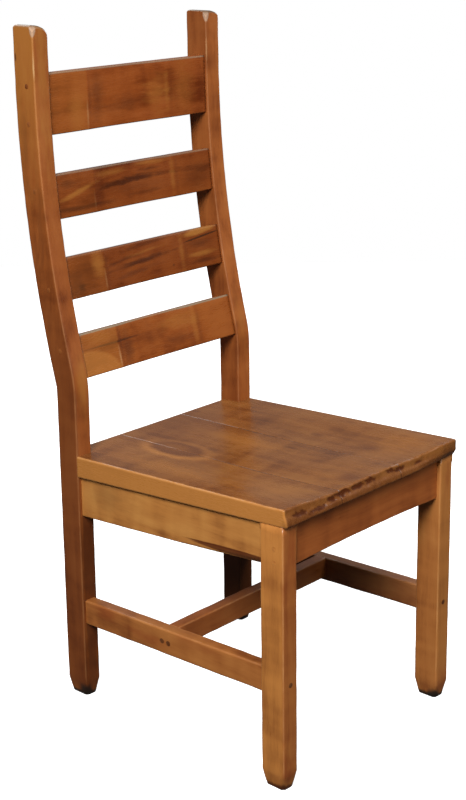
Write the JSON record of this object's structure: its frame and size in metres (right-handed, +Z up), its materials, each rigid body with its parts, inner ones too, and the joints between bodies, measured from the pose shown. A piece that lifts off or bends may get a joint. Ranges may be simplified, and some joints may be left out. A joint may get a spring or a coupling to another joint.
{
  "type": "ladderback chair",
  "caption": "Rigid wooden dining chair with a hollowed plank seat, raked and curved back posts, a ladder of flat slats, aprons and stretchers.",
  "frame": {"origin": "on the floor, at the middle of the chair's footprint box", "axes": "+Z up; the chair faces -Y and its back leans towards +Y; +X is to the right for someone looking at its front"},
  "size_m": [0.415, 0.5637, 1.1155],
  "materials": {
    "post_wood": "stained maple, satin lacquer",
    "leg_wood": "stained maple, satin lacquer",
    "slat_wood": "stained maple, satin lacquer",
    "seat_wood": "stained maple, satin lacquer",
    "rail_wood": "stained maple, satin lacquer",
    "block_wood": "unstained maple",
    "plug_wood": "stained maple, satin lacquer",
    "screw_steel": "zinc plated"
  },
  "bodies": {
    "root": {"back_post_left": "post_wood", "back_post_right": "post_wood", "front_leg_left": "leg_wood", "front_leg_right": "leg_wood", "slat_top": "slat_wood", "slat_upper": "slat_wood", "slat_lower": "slat_wood", "slat_bottom": "slat_wood", "seat_board_left": "seat_wood", "seat_board_middle": "seat_wood", "seat_board_right": "seat_wood", "apron_front": "rail_wood", "apron_rear": "rail_wood", "apron_left": "rail_wood", "apron_right": "rail_wood", "stretcher_left": "rail_wood", "stretcher_right": "rail_wood", "stretcher_cross": "rail_wood", "corner_block_front_left": "block_wood", "corner_block_front_right": "block_wood", "corner_block_rear_left": "block_wood", "corner_block_rear_right": "block_wood", "slat_plugs": "plug_wood", "stretcher_plugs": "plug_wood", "cross_plugs": "plug_wood", "apron_plugs": "plug_wood", "slat_screws": "screw_steel", "stretcher_screws": "screw_steel", "cross_screws": "screw_steel", "apron_screws": "screw_steel", "seat_screws": "screw_steel", "block_screws": "screw_steel"}
  },
  "joints": []
}
